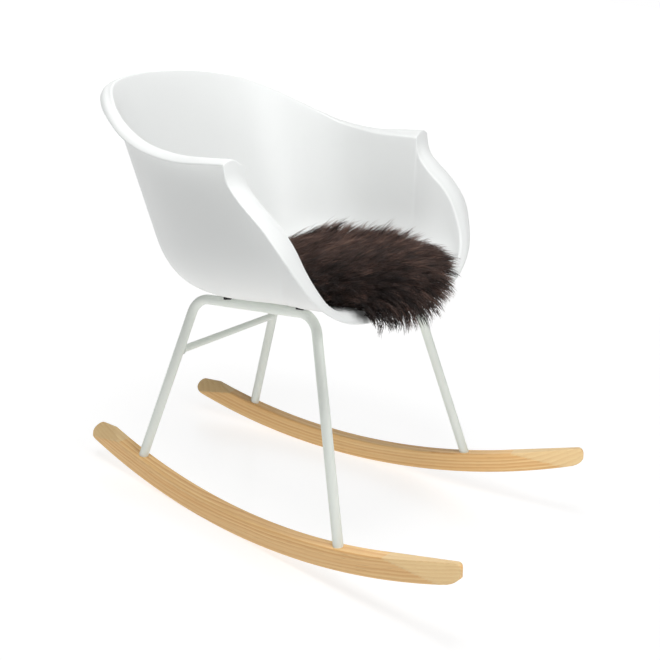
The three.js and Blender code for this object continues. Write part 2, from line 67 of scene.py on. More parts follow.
TUBE_RADIUS = 8
TUBE_BORE = 6.5
BEND_RADIUS = 36
FRONT_FOOT = (222.6, -110.6, 39)  # leg axes where they enter the rockers, sitter's left
BACK_FOOT = (163.5, 303, 79)
FRONT_CORNER = (152, -29, 361)  # leg and rail axes meet here, before the bend
BACK_CORNER = (125, 209.5, 353)
CROSSBAR_RADIUS = 6
CROSSBAR_HEIGHT = 264

ROCKER_RADIUS = 1050  # underside
ROCKER_DEPTH = 33
ROCKER_WIDTH = 26
ROCKER_HALF_TRACK = 207  # rocker's middle to the chair's centre plane, at y = 0
ROCKER_TOE = math.radians(8.1)  # that each rocker turns in towards the back
ROCKER_FRONT = -322  # ends, along the rocker
ROCKER_BACK = 429
RAMP_FRONT = -200  # the upper edge runs straight from here to the tip
RAMP_BACK = 385
FRONT_TIP_DROP = 10  # of the upper edge below the arc, at the tips
BACK_TIP_DROP = 17
SOCKET_DEPTH = 12  # of the leg tubes in the rockers

STRAP_THICKNESS = 4
STRAP_PLACES = (18, 168)  # y of the two cross straps under the seat
BOSS_OFFSET = 96  # x of the seat bosses
BOSS_RADIUS = 10
BOSS_BORE = 4.5  # radius
BOSS_BORE_DEPTH = 9
BOSS_SIDES = 48
GAP = 0.3

# Guide lines of the shell on the sitter's left: crest, free edge and foot, point for point.
FRONT_CREST = (
    (0, -96, 369), (110, -97, 371), (178, -96, 379), (216, -94, 396), (236, -87, 420), (247, -75, 448),
    (252, -60, 480), (254, -40, 507), (254, -16, 529), (256.5, 4, 550), (260, 13, 568), (262, 17, 590),
)
FRONT_EDGE = (
    (0, -110, 350), (110, -110, 352), (180, -107, 363), (228, -101, 384), (263, -92, 413), (286, -78, 450),
    (299, -64, 479), (304, -40, 511), (305, -14, 536), (304.5, 4, 554), (307, 13, 570), (308, 17.5, 594),
)
FRONT_FOOT_LINE = (
    (0, -74, 380), (105, -74, 380), (170, -72, 380), (206, -64, 380), (220, -50, 379), (226, -38, 379),
    (229, -28, 378), (230, -18, 378), (231, -10, 378), (231, -2, 377), (231, 6, 377), (231, 14, 377),
)
RIM_CREST = (
    (262, 17, 590), (261.5, 60, 592), (262.5, 100, 595), (264.5, 140, 602), (264, 178, 612), (257, 215, 629),
    (240, 252, 649), (212, 289, 671), (172, 322, 689), (120, 343, 699), (60, 353, 704), (0, 356, 705),
)
RIM_FOOT_LINE = (
    (231, 14, 377), (231, 46, 375), (230, 77, 374), (227, 106, 373), (220, 136, 372), (208, 163, 371),
    (191, 190, 370), (166, 214, 369), (133, 231, 368), (94, 242, 368), (47, 248, 368), (0, 250, 368),
)
RIM_FLANGE_WIDTH = (46, 43, 38, 32, 26, 22, 20, 20, 20, 20, 20, 20)
RIM_FLANGE_DROP = (-4, -1, 3, 6, 7, 9, 9, 12, 14, 14, 14, 14)


# ---- placement ----
def seat_height(y):
    """Height of the seat's flat part, which rises towards the front lip."""
    return SEAT_CENTRE[2] - SEAT_RISE * (y - SEAT_CENTRE[1])


def rail_height(y):
    """Height of the rails' axis."""
    share = (y - FRONT_CORNER[1]) / (BACK_CORNER[1] - FRONT_CORNER[1])
    return FRONT_CORNER[2] + share * (BACK_CORNER[2] - FRONT_CORNER[2])


def strap_top(y):
    return rail_height(y) + STRAP_THICKNESS / 2


def crossbar_ends():
    """The crossbar's ends on the axes of the two back legs."""
    share = (CROSSBAR_HEIGHT - BACK_FOOT[2]) / (BACK_CORNER[2] - BACK_FOOT[2])
    x, y, z = np.array(BACK_FOOT) + share * np.subtract(BACK_CORNER, BACK_FOOT)
    return np.array([[-x, y, z], [x, y, z]])


def design_to_packed():
    """The lean of the resting chair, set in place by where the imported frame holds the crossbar."""
    lean = Matrix.Rotation(-REST_TILT, 4, "X") @ Matrix.Scale(MM, 4)
    low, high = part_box("rear_crossbar")
    drawn = lean @ Vector(crossbar_ends().mean(0))
    return Matrix.Translation((low + high) / 2 - drawn) @ lean


TO_PACKED = np.array(design_to_packed())


def placed(points):
    return np.asarray(points, float) @ TO_PACKED[:3, :3].T + TO_PACKED[:3, 3]


def on_side(point, side):
    return np.array([point[0] * side, point[1], point[2]], float)


def unit(vectors):
    vectors = np.asarray(vectors, float)
    return vectors / np.maximum(np.linalg.norm(vectors, axis=-1, keepdims=True), 1e-12)


def share_of_way(value, start, end):
    """0 up to start, 1 from end on, and straight in between."""
    return np.clip((value - start) / (end - start), 0, 1)


# ---- mesh helpers ----
def linked(name, data):
    """A new object in the scene."""
    obj = bpy.data.objects.new(name, data)
    bpy.context.scene.collection.objects.link(obj)
    return obj


def skin(rings, loop=False):
    """Joins rings of equally many points with quads. Unless they loop, both ends close in a fan."""
    count, around = rings.shape[:2]
    points = [tuple(p) for p in rings.reshape(-1, 3)]
    faces = []
    for i in range(count if loop else count - 1):
        here, there = i * around, (i + 1) % count * around
        for k in range(around):
            after = (k + 1) % around
            faces.append((here + k, here + after, there + after, there + k))
    if not loop:
        for first, ring in ((0, rings[0]), ((count - 1) * around, rings[-1])):
            middle = len(points)
            points.append(tuple(ring.mean(0)))
            faces += [(first + k, first + (k + 1) % around, middle) for k in range(around)]
    return points, faces


def make_object(name, parts):
    """One closed, smooth, outward-facing mesh from (points, faces) parts in the design frame."""
    points, faces = [], []
    for part_points, part_faces in parts:
        start = len(points)
        points += list(part_points)
        faces += [tuple(start + k for k in face) for face in part_faces]
    mesh = bpy.data.meshes.new(name)
    mesh.from_pydata([tuple(p) for p in placed(points)], [], faces)
    work = bmesh.new()
    work.from_mesh(mesh)
    bmesh.ops.recalc_face_normals(work, faces=work.faces)
    work.to_mesh(mesh)
    work.free()
    mesh.shade_smooth()
    return linked(name, mesh)


def finish_piece(obj, material, node):
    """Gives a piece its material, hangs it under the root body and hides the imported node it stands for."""
    obj.data.materials.append(material)
    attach(obj, "root")
    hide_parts(node)
    return obj


def crease_by_angle(obj, degrees):
    """Smooth faces that meet in an edge sharper than this keep it crisp."""
    obj.data.set_sharp_from_angle(angle=math.radians(degrees))


def circle(sides):
    angles = np.arange(sides) * 2 * math.pi / sides
    return np.stack([np.cos(angles), np.sin(angles)], 1)


def across(direction):
    """Two unit vectors square to a direction and to each other."""
    direction = unit(direction)
    helper = np.array([0, 0, 1.0]) if abs(direction[2]) < 0.9 else np.array([1.0, 0, 0])
    first = unit(np.cross(direction, helper))
    return first, np.cross(direction, first)


def turned(profile, base, sides):
    """A closed piece turned about Z, from (radius, height) pairs above its base."""
    flat = np.column_stack([circle(sides), np.zeros(sides)])
    return skin(np.array([np.add(base, (0, 0, height)) + flat * radius for radius, height in profile]))


def swept_rings(path, radii, sides):
    """Rings along a path, without twist."""
    path = np.asarray(path, float)
    tangents = unit(np.gradient(path, axis=0))
    normal, _ = across(tangents[0])
    ring = circle(sides)
    rings = []
    for here, tangent, radius in zip(path, tangents, radii):
        normal = unit(normal - tangent * normal.dot(tangent))
        binormal = np.cross(tangent, normal)
        rings.append(here + radius * (ring[:, :1] * normal + ring[:, 1:] * binormal))
    return np.array(rings)


# ---- material helpers ----
class NodeTree:
    """A node tree, built one node at a time."""

    def __init__(self, tree):
        self.tree = tree

    def add(self, kind, inputs=(), **settings):
        node = self.tree.nodes.new(kind)
        for key, value in settings.items():
            setattr(node, key, value)
        for key, value in dict(inputs).items():
            self.feed(node.inputs[key], value)
        return node

    def feed(self, socket, value):
        if isinstance(value, bpy.types.NodeSocket):
            self.tree.links.new(value, socket)
        else:
            socket.default_value = value

    def maths(self, operation, a, b):
        return self.add("ShaderNodeMath", {0: a, 1: b}, operation=operation).outputs[0]

    def ranged(self, value, low, high, from_low=0.0, from_high=1.0, **settings):
        inputs = {"Value": value, "From Min": from_low, "From Max": from_high, "To Min": low, "To Max": high}
        return self.add("ShaderNodeMapRange", inputs, **settings).outputs["Result"]


class Nodes(NodeTree):
    """The nodes of one new material."""

    def __init__(self, name):
        self.material = bpy.data.materials.new(name)
        self.material.use_nodes = True
        super().__init__(self.material.node_tree)
        self.shader = self.tree.nodes["Principled BSDF"]

    def set(self, **values):
        for key, value in values.items():
            self.feed(self.shader.inputs[key.replace("_", " ")], value)

    def place(self, attribute=None):
        if attribute is None:
            return self.add("ShaderNodeTexCoord").outputs["Object"]
        return self.add("ShaderNodeAttribute", attribute_name=attribute).outputs["Vector"]

    def stretched(self, vector, scale):
        return self.add("ShaderNodeMapping", {"Vector": vector, "Scale": scale}).outputs[0]

    def noise(self, vector, scale, detail=2.0, roughness=0.5):
        inputs = {"Vector": vector, "Scale": scale, "Detail": detail, "Roughness": roughness}
        return self.add("ShaderNodeTexNoise", inputs).outputs["Fac"]

    def blend(self, share, first, second):
        node = self.add("ShaderNodeMix", data_type="RGBA")
        self.feed(node.inputs["Factor"], share)
        colours = [socket for socket in node.inputs if socket.type == "RGBA"]
        self.feed(colours[0], first)
        self.feed(colours[1], second)
        return next(socket for socket in node.outputs if socket.type == "RGBA")

    def bump(self, height, distance, strength=1.0):
        inputs = {"Height": height, "Distance": distance, "Strength": strength}
        self.set(Normal=self.add("ShaderNodeBump", inputs).outputs["Normal"])


def colour(red, green, blue):
    """A display colour, 0 to 255, as the linear colour a shader takes."""
    shares = [c / 255 for c in (red, green, blue)]
    linear = [c / 12.92 if c <= 0.04 else ((c + 0.055) / 1.055) ** 2.4 for c in shares]
    return (*linear, 1.0)


# ---- materials ----
def mottled(name, clouds, colours, patches, roughness, grain, bump, **more):
    """A material whose colour, roughness and surface each follow a noise of their own.

    clouds, patches and grain are those noises: scale, detail and, if it matters, roughness.
    """
    n = Nodes(name)
    place = n.place()
    n.set(Base_Color=n.blend(n.noise(place, *clouds), *colours))
    n.set(Roughness=n.ranged(n.noise(place, *patches), *roughness))
    n.set(**more)
    n.bump(n.noise(place, *grain), *bump)
    return n.material


def moulded_plastic():
    """White polypropylene with the fine spark-eroded grain of its mould."""
    colours = colour(234, 236, 235), colour(240, 242, 241)
    return mottled("moulded_plastic", (6.0, 3.0), colours, (40.0, 4.0), (0.36, 0.46),
                   (1400.0, 2.0, 0.6), (0.00006, 0.5), Specular_IOR_Level=0.45)


def powder_coat():
    """Pale green-white powder coat with a slight orange peel."""
    colours = colour(232, 238, 230), colour(240, 244, 238)
    return mottled("powder_coat", (14.0, 2.0), colours, (60.0, 3.0), (0.3, 0.42),
                   (420.0, 1.5), (0.00012, 0.6))


def ash_wood():
    """Clear-lacquered ash: rings round a pith beside the rocker, fibre streaks, open pores, and the planed
    tips and facets painted paler, partly for their cut grain and partly as painted light from above.
    """
    n = Nodes("ash_wood")
    place = n.place("grain")
    wander = n.noise(n.stretched(place, (14, 2.2, 14)), 1.0, 2.0)
    sideways = n.add("ShaderNodeCombineXYZ", {"X": wander, "Z": wander}).outputs[0]
    shift = n.stretched(sideways, (0.02, 0.0, 0.016))
    shifted = n.add("ShaderNodeVectorMath", {0: place, 1: shift}, operation="ADD").outputs[0]
    rings = n.add("ShaderNodeTexWave", {
        "Vector": shifted, "Scale": 62.0, "Distortion": 0.9, "Detail": 2.0, "Detail Scale": 0.6,
        "Detail Roughness": 0.45}, wave_type="RINGS", rings_direction="Y", wave_profile="SAW").outputs["Fac"]
    fibre = n.noise(n.stretched(place, (420, 4, 420)), 1.0, 4.0, 0.65)
    broad = n.noise(n.stretched(place, (60, 3, 60)), 1.0, 2.0)
    pores = n.ranged(n.noise(n.stretched(place, (1500, 45, 1500)), 1.0, 1.0), 0.0, 1.0, 0.62, 0.74)
    strength = n.ranged(n.noise(n.stretched(place, (110, 1.6, 110)), 1.0, 2.0), 0.1, 1.0, 0.3, 0.65)
    late = n.maths("MULTIPLY", n.ranged(rings, 0.0, 1.0, 0.3, 1.0), strength)
    base = n.blend(late, colour(248, 212, 153), colour(208, 142, 76))
    base = n.blend(n.ranged(fibre, 0.0, 0.75, 0.35, 0.7), base, colour(230, 177, 113))
    base = n.blend(n.ranged(broad, 0.0, 0.45, 0.35, 0.75), base, colour(246, 196, 127))
    base = n.blend(n.maths("MULTIPLY", pores, 0.35), base, colour(168, 116, 68))
    # Painted top light: the planed tips and facets face the light above, so they are painted paler here as
    # well as for their paler cut grain.
    planed_top_light = n.add("ShaderNodeAttribute", attribute_name="planed_top_light").outputs["Fac"]
    base = n.blend(n.maths("MULTIPLY", planed_top_light, 0.55), base, colour(236, 212, 164))
    n.set(Base_Color=base)
    n.set(Roughness=n.ranged(fibre, 0.42, 0.6))
    height = n.maths("SUBTRACT", n.maths("MULTIPLY", fibre, 0.4), pores)
    n.bump(height, 0.00012, 0.5)
    return n.material


def black_rubber():
    colours = colour(22, 22, 23), colour(34, 34, 35)
    return mottled("black_rubber", (30.0,), colours, (80.0,), (0.7, 0.88), (900.0,), (0.00008, 0.5))


def turned_metal(name, dark, light, roughness):
    """Bare metal with the fine streaks of turning round Z."""
    n = Nodes(name)
    streaks = n.noise(n.stretched(n.place(), (300, 300, 2500)), 1.0, 2.0)
    n.set(Base_Color=n.blend(streaks, dark, light), Metallic=1.0)
    n.set(Roughness=n.ranged(streaks, *roughness))
    return n.material


def plated_steel():
    """Bright zinc."""
    return turned_metal("plated_steel", colour(176, 180, 186), colour(204, 206, 208), (0.24, 0.4))


def turned_brass():
    return turned_metal("turned_brass", colour(181, 148, 82), colour(205, 174, 106), (0.28, 0.42))


def tanned_hide():
    """The leather side of the pelt, dark brown and suede-like."""
    colours = colour(38, 28, 23), colour(62, 46, 38)
    return mottled("tanned_hide", (60.0, 3.0), colours, (200.0,), (0.8, 0.95), (700.0, 3.0), (0.0003, 0.6))


# ---- shell ----
FRONT_COLUMNS = 150
RIM_COLUMNS = 170
SEAT_ROWS = 8
FLOOR_BEND_ROWS = 16
WALL_ROWS = 10
CREST_BEND_ROWS = 9
FLANGE_ROWS = 8
WALL_END_ROW = SEAT_ROWS + FLOOR_BEND_ROWS + WALL_ROWS  # where the wall's straight part ends
SEAT_MIDDLE_SHARE = 0.03  # size of the first ring round the seat's middle
SEAT_BEND_LIMIT = 0.6  # the most of the seat, and of the wall, that the rounding between them takes
WALL_BEND_LIMIT = 0.75
CREST_TIGHTENING = 1.2  # the crest's rounding reaches less far down the wall than over the flange
TIP_CROWDING = 0.72  # how much closer the columns stand near the arm tips


def guide(points, starts_at_centre):
    """A Catmull-Rom line through the points and their mirror images, as a function of 0 to 1."""
    left = [on_side(p, 1) for p in points]
    right = [on_side(p, -1) for p in points]
    line = right[::-1] + left[1:] if starts_at_centre else left + right[::-1][1:]
    line = np.array([2 * line[0] - line[1], *line, 2 * line[-1] - line[-2]])

    def at(t):
        along = np.clip(t, 0, 1) * (len(line) - 3)
        i = np.minimum(along.astype(int), len(line) - 4)
        w = (along - i)[:, None]
        a, b, c, d = line[i], line[i + 1], line[i + 2], line[i + 3]
        start, end = 0.5 * (c - a), 0.5 * (d - b)
        return (b + start * w + (3 * (c - b) - 2 * start - end) * w**2
                + (2 * (b - c) + start + end) * w**3)

    return at


def flange_edge():
    """The rim flange's free edge, outward from the crest by its width and down by its drop."""
    edge = []
    for i, here in enumerate(RIM_CREST):
        before = RIM_CREST[max(i - 1, 0)]
        after = RIM_CREST[i + 1] if i + 1 < len(RIM_CREST) else on_side(before, -1)
        outward = unit([after[1] - before[1], before[0] - after[0], 0])
        edge.append(np.array(here) + outward * RIM_FLANGE_WIDTH[i] - np.array([0, 0, RIM_FLANGE_DROP[i]]))
    return edge


def bezier(a, b, c, rows):
    """Rows from a towards c, bending at b, without the last."""
    t = np.linspace(0, 1, rows + 1)[:-1, None, None]
    return a * (1 - t) ** 2 + 2 * b * t * (1 - t) + c * t**2


def straight(a, b, rows):
    """Rows from a towards b, without the last."""
    t = np.linspace(0, 1, rows + 1)[:-1, None, None]
    return a + (b - a) * t


def length(vectors):
    return np.linalg.norm(vectors, axis=1, keepdims=True)


def shell_rows(crest, edge, foot):
    """Rows of the upper face, from the seat's middle to the free edge, for many columns at once."""
    centre = np.array(SEAT_CENTRE, float)
    to_centre, to_crest = length(foot - centre), length(foot - crest)
    seat_end = foot + (centre - foot) * np.minimum(FLOOR_ROUNDING / to_centre, SEAT_BEND_LIMIT)
    wall_start = foot + (crest - foot) * np.minimum(FLOOR_ROUNDING / to_crest, WALL_BEND_LIMIT)
    wall_end = crest + unit(wall_start - crest) * CREST_ROUNDING / CREST_TIGHTENING
    flange_start = crest + unit(edge - crest) * CREST_ROUNDING
    end = edge + unit(flange_start - edge) * SHELL_WALL / 2
    fall = unit(edge - crest)
    lift = np.array([0, 0, 1]) - fall * fall[:, 2:]
    flange_roll = (flange_start + end) / 2 + lift * length(edge - crest) * FLANGE_ROLL
    return np.concatenate([
        straight(centre + (seat_end - centre) * SEAT_MIDDLE_SHARE, seat_end, SEAT_ROWS),
        bezier(seat_end, foot, wall_start, FLOOR_BEND_ROWS),
        straight(wall_start, wall_end, WALL_ROWS),
        bezier(wall_end, crest, flange_start, CREST_BEND_ROWS),
        bezier(flange_start, flange_roll, end, FLANGE_ROWS),
        end[None],
    ])


def crowded(count):
    """Shares from 0 towards 1 that stand closer near both ends."""
    even = np.arange(count) / count
    return (1 - TIP_CROWDING) * even + TIP_CROWDING * (0.5 - 0.5 * np.cos(math.pi * even))


def soften_tips(rows):
    """Rounds the corner at each arm tip: a little at the rim, and broadly down the wall below it."""
    total = rows.shape[1]
    below_rim = share_of_way(np.arange(len(rows)), WALL_END_ROW, WALL_END_ROW - WALL_ROWS)[:, None]
    for reach, rounds, fade in ((3, 3, np.ones_like(below_rim)), (18, 40, below_rim)):
        nearness = np.zeros(total)
        for tip in (0, FRONT_COLUMNS):
            away = np.abs((np.arange(total) - tip + total // 2) % total - total // 2)
            nearness = np.maximum(nearness, np.clip(1 - away / reach, 0, 1))
        share = (0.5 * np.sqrt(nearness)[None] * fade)[..., None]
        for _ in range(rounds):
            mean = (np.roll(rows, 1, 1) + np.roll(rows, -1, 1)) / 2
            rows = rows * (1 - share) + mean * share
    return rows


def shell_upper_face():
    """The sitter's side of the shell, row by row, with one column for each place round the rim."""
    front_lines = (FRONT_CREST, FRONT_EDGE, FRONT_FOOT_LINE)
    rim_lines = (RIM_CREST, flange_edge(), RIM_FOOT_LINE)
    front = [guide(line, True)(crowded(FRONT_COLUMNS)) for line in front_lines]
    rim = [guide(line, False)(crowded(RIM_COLUMNS)) for line in rim_lines]
    crest, edge, foot = (np.concatenate(pair) for pair in zip(front, rim))
    return soften_tips(shell_rows(crest, edge, foot))


def face_normals(rows):
    """Unit normals of the upper face at its points, on the sitter's side."""
    around = np.roll(rows, -1, 1) - np.roll(rows, 1, 1)
    outward = np.gradient(rows, axis=0)
    return unit(np.cross(outward, around))


def seat_boss(side, y):
    """A moulded boss under the seat, flared where it grows out of the wall, with its bore."""
    foot = strap_top(y) + GAP
    into_wall = 1.5
    top = seat_height(y) - SHELL_WALL + into_wall - foot
    bore = [(BOSS_BORE, BOSS_BORE_DEPTH), (BOSS_BORE, 0.4), (BOSS_BORE + 0.4, 0)]
    side_wall = [(BOSS_RADIUS - 0.6, 0), (BOSS_RADIUS, 0.6), (BOSS_RADIUS, top - 4)]
    flare = [(BOSS_RADIUS + out, top - down) for out, down in ((0.6, 2.8), (2, 1.6), (4, 1.2), (4, 0))]
    profile = bore + side_wall + flare
    return turned(profile, (side * BOSS_OFFSET, y, foot), BOSS_SIDES)


def seat_shell(upper):
    """The whole moulding: both faces of the wall, its rounded free edge, and the four bosses."""
    normals = face_normals(upper)
    lower = upper - normals * SHELL_WALL
    outward = unit(upper[-1] - upper[-2])
    middle = (upper[-1] + lower[-1]) / 2
    bulge = []
    for angle in np.linspace(math.pi / 2, -math.pi / 2, 9)[1:-1]:
        way = normals[-1] * math.sin(angle) + outward * math.cos(angle)
        bulge.append(middle + SHELL_WALL / 2 * way)
    rings = np.concatenate([upper, np.array(bulge), lower[::-1]])
    bosses = [seat_boss(side, y) for side in (-1, 1) for y in STRAP_PLACES]
    shell = make_object("moulded_shell", [skin(rings), *bosses])
    return finish_piece(shell, moulded_plastic(), "seat_shell")


# ---- frame ----
TUBE_SIDES = 40
TUBE_STATIONS = 60
BEND_STATIONS = 22
CROSSBAR_SIDES = 32
# The weld fillet at each end of the crossbar: distances from its end, and how far it stands out there.
FILLET_SPOTS = (0, 0.8, 1.8, 3.2, 5.2)
FILLET_HEIGHTS = (2.2, 1.7, 0.9, 0.3, 0)


def along_leg(foot, corner, distance):
    return np.asarray(foot, float) + unit(np.subtract(corner, foot)) * distance


def bend(before, corner, after):
    """Points round a bend of a tube, where the straights before and after would meet at corner."""
    back = unit(np.subtract(before, corner))
    ahead = unit(np.subtract(after, corner))
    half = math.acos(float(np.clip(back.dot(ahead), -1, 1))) / 2
    centre = corner + unit(back + ahead) * BEND_RADIUS / math.sin(half)
    start = unit(corner + back * BEND_RADIUS / math.tan(half) - centre)
    axis = unit(np.cross(start, ahead))
    angles = np.linspace(0, math.pi - 2 * half, BEND_STATIONS)[:, None]
    return centre + BEND_RADIUS * (start * np.cos(angles) + np.cross(axis, start) * np.sin(angles))


def resampled(path, count):
    """The same line with this many more stations, evenly spread."""
    at = np.concatenate([[0], np.cumsum(np.linalg.norm(np.diff(path, axis=0), axis=1))])
    fine = np.unique(np.concatenate([at, np.linspace(0, at[-1], count)]))
    return np.stack([np.interp(fine, at, path[:, k]) for k in range(3)], 1)


def side_frame(side, name, paint):
    """Front leg, rail and back leg: one hollow tube with two bends."""
    front_foot, front_corner = on_side(FRONT_FOOT, side), on_side(FRONT_CORNER, side)
    back_foot, back_corner = on_side(BACK_FOOT, side), on_side(BACK_CORNER, side)
    path = np.concatenate([
        [along_leg(front_foot, front_corner, GAP - SOCKET_DEPTH)],
        bend(front_foot, front_corner, back_corner),
        bend(front_corner, back_corner, back_foot),
        [along_leg(back_foot, back_corner, GAP - SOCKET_DEPTH)],
    ])
    path = resampled(path, TUBE_STATIONS)
    outer = swept_rings(path, [TUBE_RADIUS] * len(path), TUBE_SIDES)
    inner = swept_rings(path, [TUBE_BORE] * len(path), TUBE_SIDES)
    tube = make_object(f"bent_tube_{name}", [skin(np.concatenate([outer, inner[::-1]]), loop=True)])
    crease_by_angle(tube, 60)
    return finish_piece(tube, paint, f"side_frame_{name}")


def crossbar(paint):
    """The bar between the back legs, with a small painted weld fillet at each end."""
    left, right = crossbar_ends()
    reach = TUBE_RADIUS - 0.8
    radii = [CROSSBAR_RADIUS + height for height in FILLET_HEIGHTS]
    span = right[0] - left[0] - 2 * reach
    along = [*FILLET_SPOTS, *(span - spot for spot in reversed(FILLET_SPOTS))]
    path = np.array([left + np.array([reach + s, 0, 0]) for s in along])
    bar = make_object("tie_bar", [skin(swept_rings(path, [*radii, *reversed(radii)], CROSSBAR_SIDES))])
    return finish_piece(bar, paint, "rear_crossbar")


# ---- rockers ----
# In a rocker's own frame Y runs along it, X across it and Z up from the middle of its underside.
STATIONS = 300
END_STATIONS = 14
POINTS_PER_FACE = 18  # of each cross section
EDGE_SHARPNESS = 15  # higher keeps the long edges crisper
FACET_SHARPNESS = 60  # the planed facets' edges stay crisper
# Each planed facet: where it leaves the upper edge, where it reaches the underside, the tip it runs to,
# and the x that its upper edge reaches there.
FRONT_FACET = (-200, -296, ROCKER_FRONT, 4)
BACK_FACET = (352, 426, ROCKER_BACK, 11)
END_ROUNDING = 12.6  # of the ends, seen from above
TIP_TOP_ROUNDING = 12  # of the tips' upper edge, seen from the side
TIP_FOOT_ROUNDING = (17, 8)  # length and height of the curve under them
TIP_EDGE = 0.4  # half the height that is left at the very end


def arc_height(radius, s):
    return ROCKER_RADIUS - np.sqrt(radius**2 - np.square(s))


def rocker_top(s):
    """The upper edge: concentric with the underside, planed straight down to the tips."""
    radius = ROCKER_RADIUS - ROCKER_DEPTH

    def ramp(start, end, drop):
        share = (s - start) / (end - start)
        low, high = arc_height(radius, end) - drop, arc_height(radius, start)
        return high + share * (low - high)

    top = arc_height(radius, s)
    top = np.where(s < RAMP_FRONT, ramp(RAMP_FRONT, ROCKER_FRONT, FRONT_TIP_DROP), top)
    return np.where(s > RAMP_BACK, ramp(RAMP_BACK, ROCKER_BACK, BACK_TIP_DROP), top)


def facet_plane(start, run_out, tip, reach):
    """The planed facet at one end: a point on it and its outward normal."""
    half = ROCKER_WIDTH / 2
    a = np.array([-half, start, rocker_top(start)])
    b = np.array([-half, run_out, arc_height(ROCKER_RADIUS, run_out)])
    c = np.array([reach, tip, rocker_top(tip)])
    normal = unit(np.cross(b - a, c - a))
    return a, normal if normal[0] < 0 else -normal


def rounded_inset(distance, radius):
    """How far a surface falls back at a distance from an end that is rounded with this radius."""
    into = np.clip(radius - distance, 0, radius)
    return radius - np.sqrt(radius**2 - into**2)


def nearness(rays, planes, sharpness):
    """One over the distance along each ray to the nearest plane, with the edges between planes rounded."""
    total = 0
    for normal, distance in planes:
        slope = np.maximum(rays @ np.asarray(normal, float), 0)
        total = total + (slope[None] / np.asarray(distance)[:, None]) ** sharpness
    return total ** (1 / sharpness)


def rocker_stations():
    """Places along the rocker, crowded where its ends are rounded."""
    ends = END_ROUNDING * (1 - np.cos(np.linspace(0, math.pi / 2, END_STATIONS)))
    front, back = ROCKER_FRONT + ends, ROCKER_BACK - ends[::-1]
    return np.concatenate([front[:-1], np.linspace(front[-1], back[0], STATIONS), back[1:]])


def section_rays():
    """Unit vectors round a cross section, crowded towards its four corners."""
    corner = math.atan2(ROCKER_DEPTH, ROCKER_WIDTH)
    corners = [-corner, corner, math.pi - corner, math.pi + corner, 2 * math.pi - corner]
    even = np.linspace(0, 1, POINTS_PER_FACE + 1)[:-1]
    crowded_share = (even + 0.5 - 0.5 * np.cos(math.pi * even)) / 2
    angles = np.concatenate([low + (high - low) * crowded_share for low, high in zip(corners, corners[1:])])
    return np.stack([np.cos(angles), np.zeros_like(angles), np.sin(angles)], 1)


def rocker_rings():
    """Cross sections of a rocker: a bent bar with rounded edges and tips, cut by the two planed facets."""
    s = rocker_stations()
    nearest = np.minimum(s - ROCKER_FRONT, ROCKER_BACK - s)
    foot_length, foot_height = TIP_FOOT_ROUNDING
    half_width = ROCKER_WIDTH / 2 - rounded_inset(nearest, END_ROUNDING)
    top = rocker_top(s) - rounded_inset(nearest, TIP_TOP_ROUNDING)
    bottom = arc_height(ROCKER_RADIUS, s) + rounded_inset(nearest, foot_length) * foot_height / foot_length
    half_height = np.maximum((top - bottom) / 2, TIP_EDGE)
    centre = np.stack([np.zeros_like(s), s, (top + bottom) / 2], 1)
    rays = section_rays()
    sides = [((1, 0, 0), half_width), ((-1, 0, 0), half_width), ((0, 0, 1), half_height),
             ((0, 0, -1), half_height)]
    facets = []
    for point, normal in (facet_plane(*FRONT_FACET), facet_plane(*BACK_FACET)):
        facets.append((normal, np.maximum((point - centre) @ normal, 0.05)))
    body = nearness(rays, sides, EDGE_SHARPNESS) ** FACET_SHARPNESS
    cut = nearness(rays, facets, FACET_SHARPNESS) ** FACET_SHARPNESS
    inverse = (body + cut) ** (1 / FACET_SHARPNESS)
    return centre[:, None] + rays[None] / inverse[..., None]


def rocker_to_design(points, side):
    """Toes a rocker in and sets it on its side of the chair."""
    c, s = math.cos(side * ROCKER_TOE), math.sin(side * ROCKER_TOE)
    turn = np.array([[c, -s, 0], [s, c, 0], [0, 0, 1]])
    return points @ turn.T + np.array([side * ROCKER_HALF_TRACK, 0, 0])


def rocker(side, name, wood):
    points, faces = skin(rocker_rings())
    own = np.array(points)
    piece = make_object(f"ash_runner_{name}", [(rocker_to_design(own, side), faces)])
    flatten_underside(piece)
    write_grain(piece, own, GRAIN_PITH[side])
    crease_by_angle(piece, 40)
    return finish_piece(piece, wood, f"rocker_{name}")


def flatten_underside(piece):
    """The level flat that the chair rests on: nothing lies below the floor."""
    for vertex in piece.data.vertices:
        vertex.co.z = max(vertex.co.z, 0.0)


GRAIN_PITH = {-1: (0.034, 0.3, 0.052), 1: (-0.041, -0.2, 0.047)}  # metres, beside each rocker
GRAIN_SLOPE = 0.015  # of the fibres against the bend
PLANED_DEPTH = 2  # points this near the planed upper edge count as on it
FACET_DEPTH = 0.5


def write_grain(piece, points, pith):
    """Stores each point's place in the bent timber, in metres, and whether it was planed, which marks where
    the wood is painted paler as painted top light.

    The place is measured across the timber, along its bend, and up from its underside.
    """
    x, s, z = points.T
    along = ROCKER_RADIUS * np.arctan2(s, ROCKER_RADIUS - z)
    up = ROCKER_RADIUS - np.hypot(s, ROCKER_RADIUS - z)
    timber = np.stack([x, along, up + GRAIN_SLOPE * along], 1) * MM + np.array(pith)
    layer = piece.data.attributes.new("grain", "FLOAT_VECTOR", "POINT")
    layer.data.foreach_set("vector", timber.astype(np.float32).ravel())
    layer = piece.data.attributes.new("planed_top_light", "FLOAT", "POINT")
    layer.data.foreach_set("value", planed_top_light_share(points).astype(np.float32))


def planed_top_light_share(points):
    """1 on the surfaces that were planed after bending, which take a paler painted top light, 0 on the rest.
    """
    s, z = points[:, 1], points[:, 2]
    planed_top_light = ((s < RAMP_FRONT) | (s > BACK_FACET[0])) & (z > rocker_top(s) - PLANED_DEPTH)
    for facet in (FRONT_FACET, BACK_FACET):
        point, normal = facet_plane(*facet)
        planed_top_light |= ((points - point) @ normal > -FACET_DEPTH) & (abs(s) > abs(facet[0]))
    return planed_top_light * 1.0


